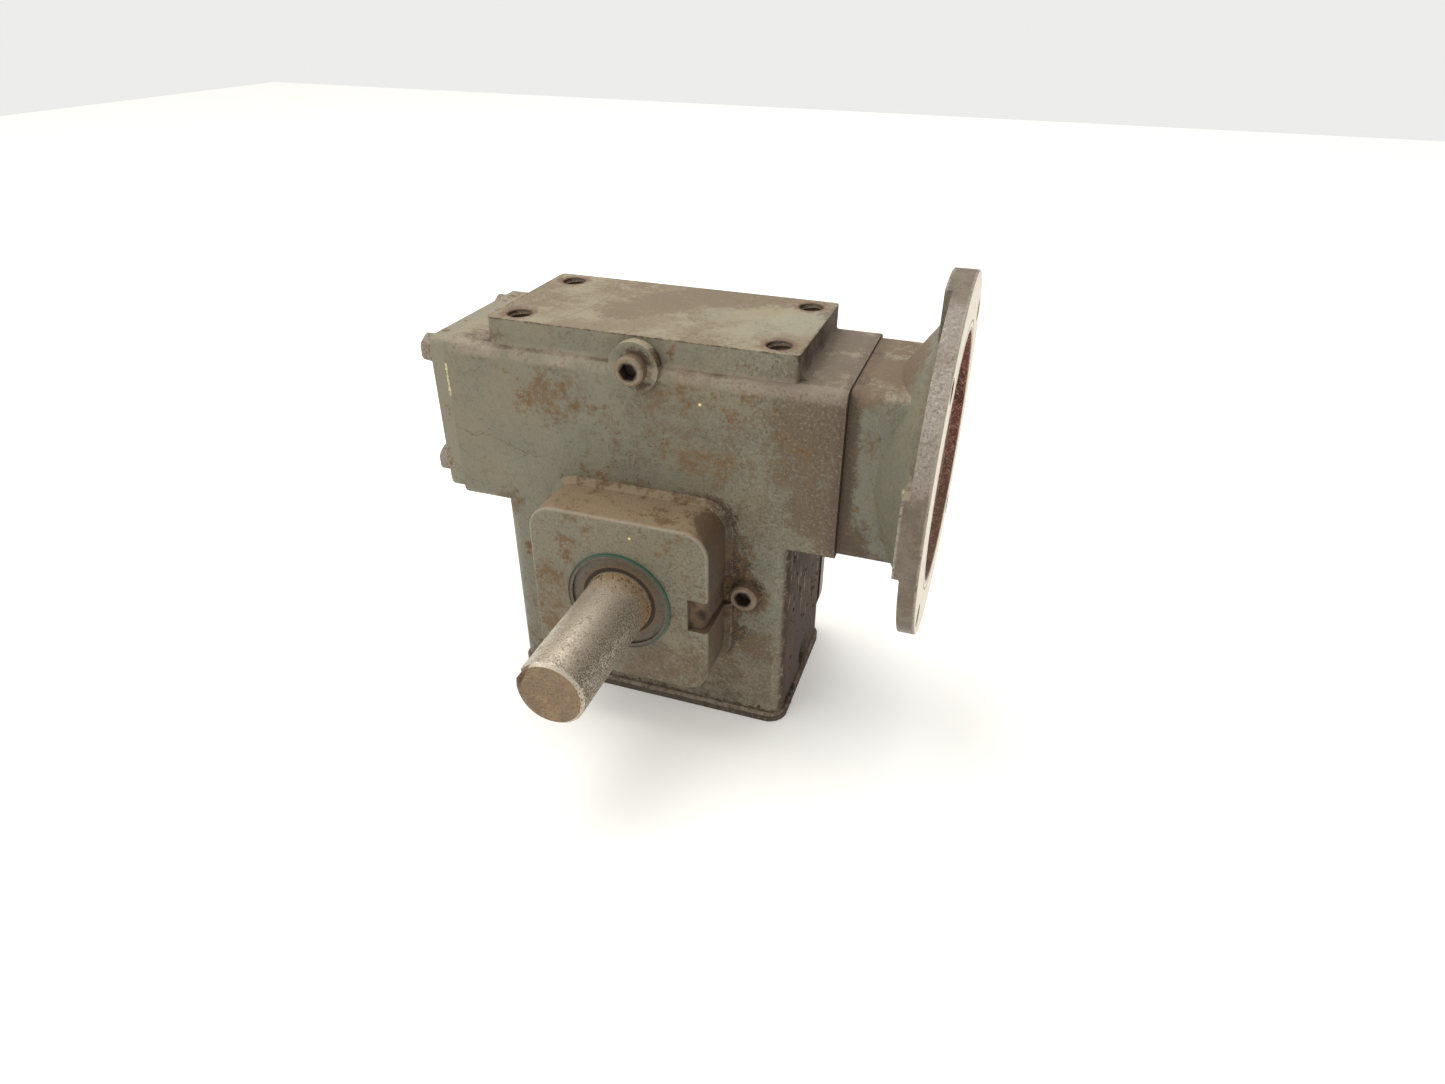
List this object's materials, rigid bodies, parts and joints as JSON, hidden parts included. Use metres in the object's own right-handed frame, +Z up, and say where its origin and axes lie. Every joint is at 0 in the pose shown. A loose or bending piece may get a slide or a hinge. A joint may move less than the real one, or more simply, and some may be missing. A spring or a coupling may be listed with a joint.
{
  "type": "right angle worm gearbox",
  "caption": "Right-angle worm-gear speed reducer with a round motor flange, a keyed output shaft and a tapped mounting pad.",
  "frame": {"origin": "on the foot plane, under the output shaft's axis, in the mid-plane of the worm wheel", "axes": "+X along the worm towards the motor flange, -Y along the free end of the output shaft, +Z up from the foot to the tapped pad"},
  "size_m": [0.2479, 0.2222, 0.2286],
  "materials": {
    "casting_paint": "worn grey-green machine enamel over cast iron",
    "fastener_paint": "painted-over fasteners, worn",
    "shaft_steel": "bare ground steel with light rust specks",
    "plug_steel": "rusty plated steel",
    "bearing_steel": "ground bearing steel",
    "cage_steel": "pressed steel",
    "gear_bronze": "machined bronze",
    "hub_iron": "machined cast iron",
    "seal_case": "dull lacquered steel",
    "seal_coat": "blue-green seal coating",
    "seal_rubber": "nitrile rubber",
    "gasket": "oil-darkened gasket paper"
  },
  "bodies": {
    "housing": {"housing_casting": "casting_paint", "end_cover": "casting_paint", "end_cover_gasket": "gasket", "end_cover_bolts": "fastener_paint", "end_cover_washers": "fastener_paint", "input_adapter": "casting_paint", "adapter_gasket": "gasket", "adapter_screws": "plug_steel", "rear_cover": "casting_paint", "rear_cover_gasket": "gasket", "rear_cover_bolts": "fastener_paint", "rear_cover_washers": "fastener_paint", "fill_plug": "plug_steel", "level_plug": "plug_steel", "drain_plug": "plug_steel", "output_seal_coating": "seal_coat", "output_seal_case": "seal_case", "output_seal_lip": "seal_rubber", "input_seal_case": "seal_case", "input_seal_lip": "seal_rubber", "front_bearing_snap_ring": "bearing_steel", "front_bearing_outer_ring": "bearing_steel", "rear_bearing_outer_ring": "bearing_steel", "worm_input_bearing_outer_ring": "bearing_steel", "worm_end_bearing_outer_ring": "bearing_steel"},
    "output": {"output_shaft": "shaft_steel", "wheel_key": "shaft_steel", "worm_wheel_rim": "gear_bronze", "worm_wheel_hub": "hub_iron", "wheel_spacer": "shaft_steel", "front_bearing_inner_ring": "bearing_steel", "rear_bearing_inner_ring": "bearing_steel"},
    "worm": {"worm_shaft": "shaft_steel", "worm_input_bearing_inner_ring": "bearing_steel", "worm_end_bearing_inner_ring": "bearing_steel"},
    "front_cage": {"front_bearing_cage": "cage_steel", "front_bearing_balls": "bearing_steel"},
    "rear_cage": {"rear_bearing_cage": "cage_steel", "rear_bearing_balls": "bearing_steel"},
    "worm_input_cage": {"worm_input_bearing_cage": "cage_steel", "worm_input_bearing_balls": "bearing_steel"},
    "worm_end_cage": {"worm_end_bearing_cage": "cage_steel", "worm_end_bearing_balls": "bearing_steel"}
  },
  "joints": [
    {"name": "output_spin", "type": "hinge", "parent": "housing", "child": "output", "pos_m": [0, 0, 0.07938], "axis": [0, 1, 0], "continuous": true},
    {"name": "worm_spin", "type": "hinge", "parent": "housing", "child": "worm", "pos_m": [0, 0, 0.14605], "axis": [1, 0, 0], "continuous": true},
    {"name": "front_cage_spin", "type": "hinge", "parent": "housing", "child": "front_cage", "pos_m": [0, -0.053, 0.07938], "axis": [0, 1, 0], "continuous": true},
    {"name": "rear_cage_spin", "type": "hinge", "parent": "housing", "child": "rear_cage", "pos_m": [0, 0.039, 0.07938], "axis": [0, 1, 0], "continuous": true},
    {"name": "worm_input_cage_spin", "type": "hinge", "parent": "housing", "child": "worm_input_cage", "pos_m": [0.0874, 0, 0.14605], "axis": [1, 0, 0], "continuous": true},
    {"name": "worm_end_cage_spin", "type": "hinge", "parent": "housing", "child": "worm_end_cage", "pos_m": [-0.08934, 0, 0.14605], "axis": [1, 0, 0], "continuous": true}
  ],
  "couplings": [
    {"joint": "worm_spin", "follows": "output_spin", "ratio": -20},
    {"joint": "front_cage_spin", "follows": "output_spin", "ratio": 0.42206},
    {"joint": "rear_cage_spin", "follows": "output_spin", "ratio": 0.42206},
    {"joint": "worm_input_cage_spin", "follows": "output_spin", "ratio": -8.0522},
    {"joint": "worm_end_cage_spin", "follows": "output_spin", "ratio": -8.0364}
  ]
}
